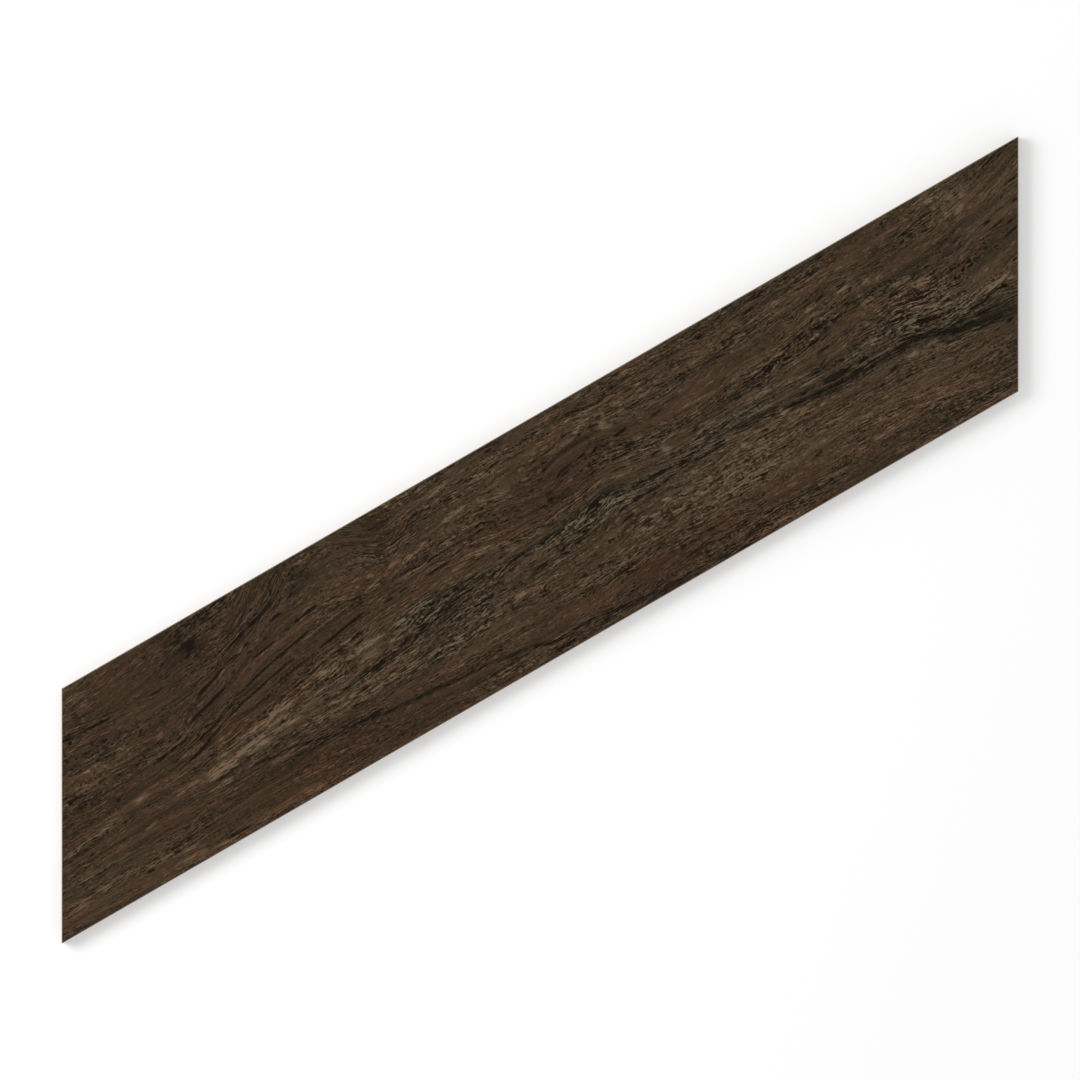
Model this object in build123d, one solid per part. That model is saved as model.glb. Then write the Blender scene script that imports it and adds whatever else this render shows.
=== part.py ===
from build123d import *

import os
from math import ceil, radians, sqrt, tan

# Chevron porcelain tile: one plank, pressed and fired in one piece, ground on all four edges.
# Frame: +X along the plank, +Y across it, +Z out of the printed face.
# The origin is on the back plane, under the middle of the tile. Millimetres.

# Plank
long_side = 540.0  # each long edge, corner to corner
face_width = 108.0  # from one long edge to the other, square across
thickness = 9.5  # from the rib crests of the back to the printed face
mitre_angle = 30.0  # slant of the two ends, from square across
arris_bevel = 0.6  # bevel round the printed face, 45 degrees

# Keyed back: a honeycomb of recessed cells between raised ribs
cell_flats = 18.5  # each hexagonal cell across its flats, at its mouth
cell_depth = 0.7
cell_draft = 40.0  # slope of a cell's walls, in degrees from upright
rib_width = 3.0  # raised rib between two cells, at its crest
least_rim = 4.0  # narrowest plain rim along a long edge

# The far long edge is shifted along +X by the slant of the ends.
lean = face_width * tan(radians(mitre_angle))
overall_length = long_side + lean

# A cell has a corner towards each long edge and flats towards the ends.
# Rows are nested, so each is shifted by half a pitch from the next.
cell_pitch = cell_flats + rib_width
row_pitch = cell_pitch * sqrt(3) / 2
cell_corner = cell_flats / sqrt(3)  # from a cell's centre to its corner


# The blank
def ground_blank():
    outline = Polygon(
        (-overall_length / 2, -face_width / 2),
        (overall_length / 2 - lean, -face_width / 2),
        (overall_length / 2, face_width / 2),
        (-overall_length / 2 + lean, face_width / 2),
    )
    blank = extrude(outline, thickness)
    printed_face = blank.faces().sort_by(Axis.Z)[-1]
    return chamfer(printed_face.edges(), arris_bevel)


# One recess of the back, wide at the back plane and narrower towards its floor
def back_cell():
    mouth = RegularPolygon(cell_corner, 6, rotation=30)
    return extrude(mouth, cell_depth, taper=cell_draft)


# Whole rows fit between the two rims, and the middle of the tile is on a rib.
# The plank is pressed longer than the tile, so the rows run on past both ends.
def cell_places():
    outer_row = int((face_width / 2 - least_rim - cell_corner) / row_pitch)
    outer_cell = ceil(overall_length / 2 / cell_pitch)
    places = []
    for row in range(-outer_row, outer_row + 1):
        shift = 0 if row % 2 else cell_pitch / 2
        for cell in range(-outer_cell, outer_cell + 1):
            places.append(Pos(cell * cell_pitch + shift, row * row_pitch))
    return places


# The mitred ends cut through the outer cells of every row.
def chevron_tile():
    cell = back_cell()
    return ground_blank() - [place * cell for place in cell_places()]


tile = chevron_tile()
tile.label = "chevron_tile"

os.makedirs("parts", exist_ok=True)
export_step(tile, "parts/chevron_tile.step")
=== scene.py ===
import math

import bmesh
import bpy
import numpy as np
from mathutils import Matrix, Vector, noise


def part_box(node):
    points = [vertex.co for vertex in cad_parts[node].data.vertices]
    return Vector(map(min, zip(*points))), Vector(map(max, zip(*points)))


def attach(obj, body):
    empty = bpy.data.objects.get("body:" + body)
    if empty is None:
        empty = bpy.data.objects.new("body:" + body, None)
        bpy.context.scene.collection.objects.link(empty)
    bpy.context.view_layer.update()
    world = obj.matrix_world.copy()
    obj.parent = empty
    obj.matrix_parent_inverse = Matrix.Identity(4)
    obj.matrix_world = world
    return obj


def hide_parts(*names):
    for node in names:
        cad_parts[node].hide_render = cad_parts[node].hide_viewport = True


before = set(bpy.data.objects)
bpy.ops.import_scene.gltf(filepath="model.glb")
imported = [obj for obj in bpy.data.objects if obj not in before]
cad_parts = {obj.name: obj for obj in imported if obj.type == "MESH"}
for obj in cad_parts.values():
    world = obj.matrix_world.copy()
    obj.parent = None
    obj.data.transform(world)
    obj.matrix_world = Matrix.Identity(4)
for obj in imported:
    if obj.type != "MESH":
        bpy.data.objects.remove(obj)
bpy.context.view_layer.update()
print("frame loaded")


# The tile's own sizes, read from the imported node
mm = 0.001
close = 0.01 * mm  # places nearer than this are in one plane
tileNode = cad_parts["chevron_tile"]
low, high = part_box("chevron_tile")
nodePoints = np.array([v.co for v in tileNode.data.vertices])
nearRow = nodePoints[nodePoints[:, 1] < low.y + close]
farRow = nodePoints[nodePoints[:, 1] > high.y - close]
lean = farRow[:, 0].min() - nearRow[:, 0].min()  # how far the far long edge is shifted
faceWidth = high.y - low.y
longSide = high.x - low.x - lean
mitre = math.atan2(lean, faceWidth)
belowFace = nodePoints[nodePoints[:, 2] < high.z - close]
wallTop = belowFace[:, 2].max()  # where the ground edge ends and the bevel starts
bevel = high.z - wallTop
print("tile", round(longSide / mm, 1), "x", round(faceWidth / mm, 1), "mm, bevel", round(bevel / mm, 2))


# Lengths in mm; the rest are shares of the bake map
tileMesh = {
    "alongStep": 1.35,  # from one grid column to the next
    "acrossStep": 0.49,  # from one grid row to the next
    "wallFoot": 1.3,  # up the ground edge, where its even strip ends
    "bevelOnMap": 1.2,  # how far the bevel reaches past the face in the bake map
    "faceCut": 0.5,  # where the face is cut in two, as a share of its length
    "faceShare": 0.8,  # height that the face takes
    "backShare": 0.13,  # height that the back takes
    "margin": 0.006,  # bare rim round each strip
    "backGap": 0.02,  # bare rim above and below the back, as a share of its height
    "wallGap": 0.1,  # the same for a ground edge
}

# Depths in mm below the highest crest, reach in mm along and across the grain.
# A pore starts where its noise passes "from", and has its full depth "rise" above that.
relief = {
    "swell": {"depth": 0.07, "reach": (70, 11), "seed": 3.1},
    "grain": {"depth": 0.06, "reach": (26, 1.9), "seed": 7.7},
    "pore": {"depth": 0.09, "reach": (11, 1.1), "seed": 1.9, "from": 0.18, "rise": 0.35},
    "veinDepth": 0.08,
    "knotDepth": 0.10,
}

# How the placed strokes end, in mm
strokeEnds = {
    "veinFade": 6.0,
    "overrun": 1.0,  # how far a line or a pale streak runs on past its two places
    "fadeShare": 0.35,  # its fade, as a share of its length
    "mostFade": 5.0,  # the longest fade between the two places
}

# The figure of the wood, in mm on the face.
# A guide is a line that the grain follows along the whole plank: its level, then its points.
# A vein has points of its own: half width and strength, then the points.
# A line or a pale streak follows the grain from one place to another: x, y, x, y, half width, strength.
# All the others are patches: x, y, half length, half width, amount.
# Cobble is pebbled wood, warm turns the colour to red or green, stirred makes the fine grain busier or
# calmer, and ringedGrain has dark rings of growth.
figure = {
    "guides": [
        (-54, [(-302, -53), (-150, -54), (0, -57), (302, -55)]),
        (-40, [(-302, -43), (-190, -42), (-90, -42), (-30, -43), (90, -41), (302, -42)]),
        (-26, [(-302, -33.5), (-200, -30), (-100, -27.5), (0, -25), (100, -23), (180, -22), (302, -25)]),
        (-8, [(-302, -24), (-232, -21.5), (-200, -20.8), (-165, -18.5), (-132, -16), (-92, -12),
              (-52, -6.5), (-20, -3.2), (16, 0), (42, 4.2), (58, 1.5), (80, -0.8), (112, -1.6),
              (152, -4.8), (198, -5.7), (228, -10.5), (258, -13), (302, -14)]),
        (2, [(-302, -17), (-262, -14.5), (-230, -13), (-205, -12.3), (-185, -10), (-160, -6),
             (-135, -3), (-110, 0), (-85, 3.5), (-60, 5.5), (-35, 5.6), (-12, 4.2), (8, 4), (26, 6),
             (42, 8.4), (58, 5.5), (80, 3.5), (112, 3), (190, 5), (250, 4), (275, 8), (302, 14)]),
        (12, [(-302, -8), (-225, -8), (-207, -7), (-195, -5), (-186, -1.8), (-170, 2.6), (-142, 7.9),
              (-100, 12.3), (-58, 13.2), (-40, 14), (-5, 12), (12, 12), (30, 14.5), (45, 15),
              (60, 12.5), (80, 11), (100, 10.5), (140, 13), (180, 17), (240, 20), (270, 26), (302, 35)]),
        (22, [(-302, 1), (-225, 1), (-205, 3.5), (-183, 10.6), (-166, 15.2), (-150, 19.5), (-130, 23),
              (-107, 26), (-74, 25), (-50, 28.2), (-30, 31), (-10, 29), (3, 25), (14, 24.5), (26, 28),
              (40, 30), (52, 29), (64, 24), (80, 23), (100, 24), (140, 27.5), (180, 31), (250, 35),
              (275, 40), (302, 48)]),
        (28, [(-302, 12), (-225, 13), (-205, 13.5), (-183, 18.2), (-174, 20.2), (-164, 23.7),
              (-140, 30.3), (-127, 33), (-95, 40), (-80, 38), (-68, 32), (-55, 34), (-30, 36),
              (5, 33), (20, 34), (40, 36), (57, 33.5), (75, 32), (100, 32.5), (180, 38.5), (260, 43),
              (302, 54)]),
        (36, [(-302, 23), (-225, 23), (-190, 24), (-167, 27.6), (-156, 30.5), (-136, 38), (-127, 44),
              (-118, 50), (-105, 53), (-90, 51), (-66, 41), (-50, 44), (-25, 46.5), (30, 46.5),
              (60, 44), (100, 43.5), (180, 49), (260, 53), (302, 62)]),
        (44, [(-302, 32), (-256, 31.5), (-209, 29.8), (-200, 30.5), (-190, 34), (-180, 37),
              (-165, 39.5), (-150, 43), (-140, 48), (-130, 55), (-118, 60), (-100, 61), (-66, 50),
              (0, 53), (100, 52), (302, 72)]),
        (54, [(-302, 45), (-205, 45), (-190, 48), (-160, 55), (-120, 70), (-80, 66), (0, 64),
              (100, 62), (302, 84)]),
    ],
    "veins": [
        (1.2, 0.5, [(-134, -16), (-122, -15.6), (-110, -14.8)]),
        (1.5, 0.9, [(-113, -15.3), (-105, -13.6), (-100, -13), (-92, -12.5), (-84.6, -11.8), (-74, -9.9)]),
        (1.6, 0.85, [(-86, -12), (-73.6, -9.8), (-69, -8.2), (-61, -6.8), (-53, -6.4), (-46, -4.4)]),
        (1.1, 0.4, [(-53, -5.4), (-40, -3.6), (-30, -2.6), (-14, -1.9), (-3, -1.2), (10, -0.3)]),
        (1.2, 0.45, [(4, -0.5), (15, -0.3), (21, 0.8), (31, 2.3)]),
        (1.4, 0.65, [(23, 1.3), (29.5, 2), (35, 3.2), (40.5, 3.9), (44.4, 3.1), (49, 1)]),
        (0.9, 0.65, [(48, 0.4), (58, -0.5), (70, -1.2), (81, -1.6)]),
        (1.1, 0.9, [(75, -1.5), (79, -1.7), (83, -1), (88, -1.2), (93, -0.8)]),
        (0.8, 0.5, [(90, -0.8), (100, -0.4), (108, 0), (122, 0.8)]),
        (1.5, 0.9, [(106, -1.4), (120, -2), (128, -2.5), (136, -3)]),
        (1.0, 1.0, [(132, -3.1), (136, -3.7), (145, -5.3), (151, -5.8)]),
        (1.5, 1.0, [(147, -5.7), (160, -6.8), (170, -6.8), (180, -6.4), (188, -6)]),
        (1.4, 1.0, [(156, -2.7), (170, -3.2), (176, -3)]),
        (1.9, 0.9, [(180, -6.4), (196, -7), (214, -7)]),
        (2.0, 1.0, [(198, -5), (206, -5.6), (214, -8), (220, -9.9), (229, -10.3), (236, -9.8)]),
        (1.3, 0.7, [(231, -9), (240, -7.8), (246, -7.3), (253, -6.1), (264, -4.8)]),
        (1.9, 0.9, [(221, -11.8), (230, -13.2), (241, -13.2)]),
        (2.2, 0.65, [(236, -13.2), (247, -12.6), (262, -13.4)]),
        (3.4, 0.45, [(232, -14.8), (246, -17), (262, -19)]),
        (0.9, 0.65, [(-180, -25.4), (-171, -25.9), (-163, -27), (-155, -27.9), (-142, -30.4), (-134, -32)]),
        (1.4, 0.65, [(-138, -31.5), (-128.6, -32.3), (-120, -33), (-114.5, -33.5), (-106, -33)]),
        (1.1, 0.5, [(-112, -36), (-100, -36.2), (-94, -36.6), (-80.7, -37.8), (-72, -38.6)]),
        (1.3, 0.5, [(-84, -37.3), (-74.4, -38.5), (-65, -38.9), (-58, -39.6), (-48, -40.6)]),
        (1.3, 0.6, [(-53, -40.1), (-40.6, -41.7), (-34.4, -42.8), (-28, -43.2)]),
        (1.5, 0.6, [(-32, -42.6), (-25, -44.4), (-20.3, -46), (-14.8, -46.8), (-6, -46.4), (12, -47.4)]),
        (1.6, 0.55, [(-5, -46.6), (10, -47.2), (17.7, -48.3), (25.5, -49.8), (33, -50.6)]),
        (1.4, 0.5, [(27, -50.1), (39, -51.4), (50, -51.2), (65, -51.6), (75, -52.6), (98, -53.2)]),
    ],
    "lines": [
        (-262, 31, -243, 30.8, 0.8, 1.3), (-244, 30.7, -224, 29.6, 0.7, 1),
        (-224, 29.6, -204, 29.6, 0.6, 0.35), (-206, 29.8, -194, 30.2, 0.7, 0.8),
        (-252, 24.9, -228, 23.7, 1.2, 0.5), (-236, 21.6, -231, 21.4, 1.2, 0.7),
        (-249, 17.5, -225, 17.6, 0.6, 0.5), (-258, 14.3, -249, 14.3, 0.7, 0.7),
        (-240, 9.8, -230, 10, 0.6, 0.5), (-266, 4.2, -254, 4.1, 0.9, 0.9),
        (-247, 5.2, -241, 5.2, 0.7, 0.9), (-264, 0.7, -229, -1.2, 0.8, 0.35),
        (-244, -7, -240, -7, 1, 0.9), (-226, -13.8, -208, -9.8, 0.7, 0.5),
        (-268, -23.9, -264, -23.9, 0.8, 0.8), (-262, -24, -258, -23.6, 0.8, 0.7),
        (-279, -21.7, -276, -21.7, 0.7, 0.7), (-280, -40.2, -272, -40.2, 0.6, 0.7),
        (-248, -45, -243, -45, 1, 1), (-232, -43.4, -227, -43.2, 0.9, 0.9),
        (-274, -49.3, -266, -49.3, 0.7, 0.5), (-261, -50.1, -251, -50.3, 0.6, 0.5),
        (-207, -50, -190, -50.3, 0.8, 0.8), (-216, -0.6, -210, 0.8, 0.9, 1),
        (-210, 0.1, -202, 2.2, 0.7, 1), (-212, 6.4, -207, 6.8, 0.7, 0.7),
        (-208, 0.7, -190, 12, 2.2, 0.35), (-211, -5.4, -205, -4.2, 0.7, 0.7),
        (-212, -9.6, -200, -7.7, 0.7, 0.7), (-205, -8.6, -178, 0, 0.8, 1.3),
        (-180, -0.5, -131, 10.4, 0.7, 0.95), (-148, 3.2, -120, 7.6, 0.7, 0.75),
        (-122, 7.4, -91, 12.5, 0.8, 1), (-196, 6.6, -168, 14.6, 0.8, 0.9),
        (-184, 17.6, -164, 24.2, 0.9, 1.3), (-167, 23.4, -153, 26, 0.9, 1.1),
        (-182, 25.5, -167, 27.6, 0.7, 0.75), (-164, 29.2, -144, 34.8, 0.8, 1.2),
        (-147, 34, -127, 41, 1, 1.1), (-138, 36.8, -134, 37.4, 1, 0.9),
        (-149, 29.4, -141, 31.1, 0.6, 0.6), (-136, 31.2, -126, 32.8, 0.8, 1),
        (-125, 33, -113, 42.7, 1.3, 0.5), (-114, 42.2, -93, 49.5, 1.3, 0.5),
        (-126, 24.5, -109, 27.4, 0.8, 1), (-132, 23.8, -127, 24.1, 0.7, 0.7),
        (-153, 19.2, -134, 22.2, 0.6, 0.8), (-142, 20.8, -139, 21, 0.9, 0.8),
        (-162, 9.2, -118, 18.2, 0.7, 0.85), (-171, -1, -148, 0, 0.6, 0.5),
        (-146, -4.2, -117, 2.2, 0.8, 0.65), (-118, 2.1, -90, 5.5, 0.8, 0.7),
        (-92, 5.3, -66, 5.2, 0.8, 0.5), (-186, -11.6, -164, -5.9, 0.8, 0.6),
        (-166, -6.2, -144, -3.8, 0.8, 0.55), (-164, 18.7, -160, 18.9, 0.9, 0.8),
        (-152, 27.5, -148, 27.7, 1, 0.9), (-152, 23.5, -149, 23.6, 0.9, 0.8),
        (-142, 25.4, -139, 25.5, 0.9, 0.7), (-174, 32.2, -171, 32.4, 0.8, 0.6),
        (-164, 36.6, -161, 36.9, 0.8, 0.6), (-180, 36.4, -175, 37.2, 0.8, 0.9),
        (-160, 39, -153, 37.8, 0.7, 0.6), (-194, 32.8, -189, 33.6, 0.8, 0.7),
        (-192, 39.4, -189, 39.6, 0.8, 0.6), (-138, 14, -135, 14, 0.9, 0.8),
        (-130, 14.8, -124, 15.2, 0.7, 0.8), (-108, -1.7, -105, -1.7, 1.1, 0.8),
        (-105, 0.7, -99, 0.6, 0.8, 0.9), (-96, 20.4, -89, 20.8, 0.7, 0.75),
        (-191, -8.1, -187, -7.8, 0.7, 0.7), (-185, -18.6, -183, -18.6, 0.8, 0.9),
        (-160, -8, -157, -8, 0.7, 0.7), (-154, -14.2, -151, -14.2, 0.6, 0.7),
        (-198, -23.4, -180, -21.2, 0.9, 0.8), (-179, -20.9, -174, -20.9, 0.9, 0.8),
        (-154, -22.8, -149, -22.8, 1, 0.9), (-141, -24.4, -137, -24.2, 0.9, 0.7),
        (-122, -24.9, -116, -24.8, 0.8, 1), (-114, -20.2, -105, -20.2, 0.8, 0.9),
        (-112, -23.2, -108, -23.2, 0.7, 0.5), (-157, -31.8, -153, -32, 0.8, 0.7),
        (-136, -40, -125, -40.5, 0.9, 0.6), (-178, -33.4, -173, -33, 0.9, 0.5),
        (-156, -39, -151, -38.8, 0.9, 0.6), (-91, -21.8, -87, -21.7, 0.9, 0.9),
        (-90, -25, -81, -24.7, 0.7, 0.9), (-80, -20.5, -69, -20.3, 0.7, 0.9),
        (-75, -23.6, -70, -23.1, 0.6, 0.6), (-81, -17.8, -77, -17.8, 0.7, 0.6),
        (-57, -24.7, -52, -24.4, 0.8, 0.9), (-50, -24.6, -42, -24.4, 0.6, 0.6),
        (-67, -13.8, -63, -13.6, 0.9, 0.85), (-63, -12, -50, -11.2, 0.7, 0.5),
        (-45, -22.4, -40, -19.8, 0.7, 0.8), (-41, -19.2, -34, -18.4, 0.7, 0.8),
        (-44, -15.7, -40, -15.7, 0.9, 0.8), (-40, -14, -33, -12.4, 0.7, 0.6),
        (-13, -21.6, -10.5, -20.6, 0.9, 0.6), (-23, -50.8, -7, -50.7, 0.8, 1),
        (-28, -48.8, -12, -49.2, 0.6, 0.5), (-15, -12.6, 0, -10.6, 0.8, 0.9),
        (4.8, -10.2, 14, -8.4, 0.8, 0.9), (5, -13, 10, -12.6, 0.8, 0.7),
        (-46, -10.4, -40, -10.4, 0.7, 0.5), (-33, -8.6, -29, -8.2, 0.9, 0.5),
        (-82, 11.6, -76, 12.1, 0.8, 1), (-74, 12, -66, 12.2, 0.8, 0.7),
        (-58.5, 12.1, -41, 13.5, 0.8, 1), (-39.5, 14.8, -31, 16.6, 0.8, 0.75),
        (-28.5, 18.5, -17.5, 18.7, 0.7, 0.8), (-25, 21.3, -20, 21.7, 0.8, 0.9),
        (-80.5, 25.3, -66, 27.8, 0.7, 0.6), (-70, 19, -56, 19.5, 0.7, 0.6),
        (-47, -0.1, -31, 1.2, 0.7, 0.9), (-43, 5.6, -25, 7.2, 0.7, 0.7), (-20, 6.2, -15, 5.6, 0.8, 0.8),
        (-22.5, 2, -18.5, 2.4, 0.8, 0.8), (-10, 5, 20, 8.8, 0.7, 0.55), (-10, 0.8, 1, 2.4, 0.7, 0.6),
        (-77, 0.3, -73, 0.5, 0.9, 0.9), (-89, -0.4, -86, -0.4, 0.8, 0.7),
        (-85, -1.4, -81, -1.2, 0.7, 0.6), (-39, 27, -36, 27, 0.8, 0.6),
        (-18.5, 27.4, -15.5, 27.8, 0.9, 0.9), (-27.5, 28, -25, 28, 0.8, 0.6),
        (-48, 26.6, -45.5, 26.8, 0.7, 0.9), (-2.5, 50.6, 1.5, 50.6, 0.9, 0.9),
        (-31, 50, -28, 50, 0.8, 0.7), (-15, 48, -12, 48, 0.8, 0.7), (-4, 43, -0.5, 43.4, 0.9, 0.8),
        (-4, 39, -1.5, 38.6, 0.9, 0.6), (-11, 33, -8.5, 33, 1, 0.6), (-88.5, 29.4, -84, 29.4, 1, 0.5),
        (-41, 40.6, -38, 40.8, 0.8, 0.7), (1, 51.6, 10, 51.6, 0.9, 0.8), (14, 35, 19, 35, 0.8, 0.6),
        (18.5, 21.2, 34, 25, 0.8, 0.85), (35.5, 25.4, 41, 25.6, 0.7, 1), (45, 25.4, 48, 25.6, 0.7, 0.9),
        (42, 23.7, 45.5, 24.7, 0.7, 0.7), (23, 21.2, 31.5, 23, 0.7, 0.7), (18, 29, 50, 31, 1.4, 0.45),
        (17, 28.2, 20, 28.6, 1.3, 0.7), (13, 25.4, 16, 25.4, 0.8, 0.8), (7, 23, 10, 23, 0.9, 0.7),
        (12.6, 14.6, 15.6, 14.5, 1.3, 0.9), (12.8, 17.6, 18, 17.8, 1.5, 0.5),
        (34.5, 47.3, 38, 47.5, 0.7, 1), (38, 47.2, 49, 45.5, 0.7, 0.9),
        (21.5, 46.8, 24.5, 47, 0.7, 0.8), (26, 45, 29, 45, 0.6, 0.7), (33.5, 38.3, 37.5, 39, 1.1, 0.7),
        (41, 39.3, 44.6, 39.3, 0.6, 0.8), (50, 39.3, 53, 39, 0.6, 0.8), (53, 37.4, 56.5, 38.1, 0.9, 1),
        (41, 34.8, 44, 35.2, 0.8, 0.9), (35, 41.8, 41, 42.7, 0.6, 0.6), (41, 42.6, 55, 40.6, 0.6, 0.55),
        (54.6, 43.5, 65, 45.2, 0.6, 0.65), (60, 41, 69, 43.5, 0.6, 0.55), (55, 25.4, 65, 27, 0.9, 1),
        (64, 34.8, 79, 34.6, 0.7, 0.85), (74.5, 25, 86, 25.8, 1.2, 0.7), (85, 36.2, 92.5, 36, 0.9, 0.5),
        (99, 40.6, 108, 40.6, 1.2, 0.6), (106, 48.2, 109, 48.4, 0.9, 0.6),
        (115, 46.8, 121, 47, 1.2, 0.7), (74, 48.3, 77.5, 48.2, 0.8, 0.5),
        (70.5, 51.4, 73.5, 51.4, 0.7, 0.8), (50, 22.5, 52.5, 22, 0.9, 0.7),
        (55, 17.3, 65, 18.6, 1.1, 0.9), (66, 16.9, 70, 17, 0.6, 0.6), (67, 8.3, 71.5, 8.8, 0.8, 0.9),
        (76, 4.4, 78.5, 4.4, 0.8, 0.7), (91, 8.8, 95.5, 9.7, 1.1, 0.9), (95, 9.7, 114, 10.4, 0.7, 0.65),
        (107, 4.8, 110, 4.6, 0.8, 0.9), (116.5, 12, 121, 12.1, 0.9, 0.9),
        (89.5, 19, 103.5, 19.3, 0.6, 0.65), (89.5, 3.8, 95, 5.6, 0.8, 0.9),
        (94.5, 5.5, 99, 5.4, 0.9, 1), (5, -7.3, 10, -7, 0.8, 0.8), (6, -9.4, 14, -8.2, 0.7, 0.9),
        (20, -7.3, 24, -7.1, 0.8, 1), (24, -7.2, 38, -5.4, 0.7, 0.6), (40, -7.7, 47.5, -6.4, 0.9, 0.9),
        (46.5, -6.4, 68, -5.8, 0.8, 1.2), (66.5, -5.9, 73, -4.7, 0.7, 0.85),
        (39, -4.8, 49, -2.9, 0.8, 0.6), (82, -4.4, 104, -4.6, 0.7, 1), (15, -3, 17.5, -4.2, 1.1, 0.9),
        (26.5, -2.4, 29, -2.4, 0.9, 0.6), (31, 0.4, 37.5, 0.7, 0.7, 0.8),
        (39, -12.6, 47, -11.8, 0.7, 0.9), (28, -13.4, 38, -13, 0.7, 0.5),
        (45, -19, 54, -18.3, 0.8, 0.85), (46.5, -25.5, 60.5, -24.8, 0.8, 0.9),
        (13.5, -26.2, 40, -25.4, 0.8, 0.5), (68.5, -26.3, 76, -24.7, 0.7, 0.8),
        (67.5, -23.1, 73, -22.2, 0.8, 0.8), (78, -18.6, 80.5, -18.5, 0.8, 0.6),
        (62, -28.6, 69, -28.2, 0.7, 0.5), (67.5, -32, 71.5, -31.2, 0.8, 0.5),
        (57.5, -38.4, 60.5, -37.3, 1.1, 1), (61.5, -37.5, 70.5, -38.8, 1, 0.6),
        (54.5, -40.4, 59.5, -40.3, 0.8, 0.6), (72.5, -37.1, 78.5, -37.5, 1, 0.6),
        (27.5, -36, 33, -36, 0.9, 0.5), (44, -46.5, 46.5, -46.5, 0.9, 0.6),
        (66.5, -46.3, 70, -46.5, 0.8, 0.6), (75.5, -46.6, 78, -46.6, 0.9, 0.6),
        (94.5, -47, 98, -47, 0.8, 0.6), (99.5, -43.9, 110, -44.5, 0.8, 0.7),
        (145, -2.5, 149.5, -2.4, 1, 0.9), (176, -2.9, 184.5, -2.4, 1, 0.8),
        (207.5, -4.4, 214, -3.7, 0.9, 1), (139.5, 45.4, 148, 46.8, 0.8, 1),
        (175.5, 33.3, 179.5, 34.6, 0.8, 0.9), (186.5, 34.2, 194, 34.6, 0.7, 0.9),
        (190, 29.8, 194, 30.7, 0.7, 0.8), (129.5, 34.6, 145.5, 37.5, 0.7, 0.7),
        (115.5, 32.3, 118.5, 32.3, 0.8, 0.7), (159.5, 32.2, 163.5, 32.5, 0.8, 0.7),
        (161.5, 39.4, 164, 39.6, 0.8, 0.7), (145.5, 31, 148, 31.2, 0.9, 0.6),
        (114.5, 46.7, 121, 46.8, 1.2, 0.6), (159.5, 16.3, 170, 17.4, 0.9, 0.95),
        (167.5, 22, 179.5, 23.6, 0.8, 0.85), (160.5, 10.7, 170.5, 12, 0.9, 0.9),
        (160, 4.6, 166.5, 7.3, 0.8, 0.75), (150, 1.6, 160.5, 4.2, 0.7, 0.5),
        (128.5, 11.6, 132, 11.7, 1.1, 1), (135.5, 11.9, 138, 12, 1, 0.9),
        (142.5, 11.2, 145, 11.2, 1, 0.5), (120.5, 19.3, 134.5, 19.7, 0.7, 0.55),
        (140, 18.1, 149.5, 18.6, 0.8, 0.8), (204.5, 17.3, 214.5, 19, 0.8, 0.8),
        (204.5, 8, 209, 8.5, 0.8, 0.8), (209, 2.6, 211.5, 2.8, 0.7, 0.6),
        (219, 3.1, 221, 3.1, 0.7, 0.8), (199, 13.7, 206, 14.6, 0.8, 0.6),
        (188.5, -14.4, 195, -13.6, 1, 0.9), (172.5, -13.4, 179.5, -13.9, 0.9, 0.65),
        (181.5, -18.6, 184.5, -18.4, 1.1, 0.85), (209.5, -19.6, 212.5, -19.4, 0.9, 0.7),
        (141, -12, 145.5, -11.7, 1, 0.8), (149.5, -11.5, 152, -11.4, 0.9, 0.7),
        (158, -12.8, 162, -12.9, 0.9, 0.65), (114.5, -10.6, 128, -11, 0.7, 0.9),
        (120, -8.2, 124.5, -8.5, 0.8, 0.8), (109.5, -8, 114, -8, 0.8, 0.7),
        (160.5, -17, 163, -17, 0.9, 0.6), (226.5, -21.9, 229.5, -21.9, 0.9, 0.85),
        (199.5, -20, 202.5, -19.2, 0.9, 0.7), (232, 42.3, 249, 44.4, 0.7, 0.75),
        (224.5, 40.2, 231, 41.5, 0.7, 0.55), (235, 47.2, 240.5, 48.2, 0.6, 0.85),
        (233.5, 37, 243.5, 37, 0.8, 0.7), (244.5, 24.9, 255.5, 25.8, 0.9, 0.55),
        (263.5, 24.9, 269.5, 25.4, 1, 0.95), (264, 20.9, 277.5, 23.4, 0.7, 0.9),
        (273.5, 19.7, 280, 20.6, 0.7, 0.85), (269, 14.4, 280, 16.7, 0.7, 0.85),
        (268, 2.3, 271, 3.3, 0.9, 1), (265, 8.8, 269.5, 9.7, 0.7, 0.65),
        (282, 27.7, 286, 28.3, 0.7, 0.95), (271, 28.2, 279.5, 27.9, 0.7, 0.5),
        (284.5, 37, 292, 37.9, 0.7, 0.9), (276, 32.4, 279, 32.8, 0.7, 0.5),
        (229, 17.3, 234, 17.3, 0.9, 0.8), (235, 12, 237, 12, 1.3, 0.6), (238, 9.6, 244.5, 9.6, 1, 0.75),
        (250, 14.4, 252, 14.4, 0.9, 0.5), (257.5, 15.3, 259.5, 15.4, 0.9, 0.6),
        (222, 21.7, 224, 21.7, 1.1, 0.6), (250, -21.9, 256, -21.4, 0.8, 1),
        (244, -22.7, 246.5, -22.7, 0.8, 0.8),
    ],
    "pales": [
        (-200, -20.2, -181, -18, 2.2, 1.5), (-184, -17.6, -161, -14.2, 1.2, 1.5),
        (-178, -19.2, -161, -17.8, 1.2, 1.3), (-162, -16.3, -144, -15.8, 1.1, 1.1),
        (-191, -14.4, -164, -10.2, 1.1, 1.0), (-166, -10.4, -143, -7.6, 1.8, 1.0),
        (-164, -13.6, -146, -11.8, 1.2, 1.0), (-128, -3.8, -112, -3.2, 1.4, 1.2),
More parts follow.
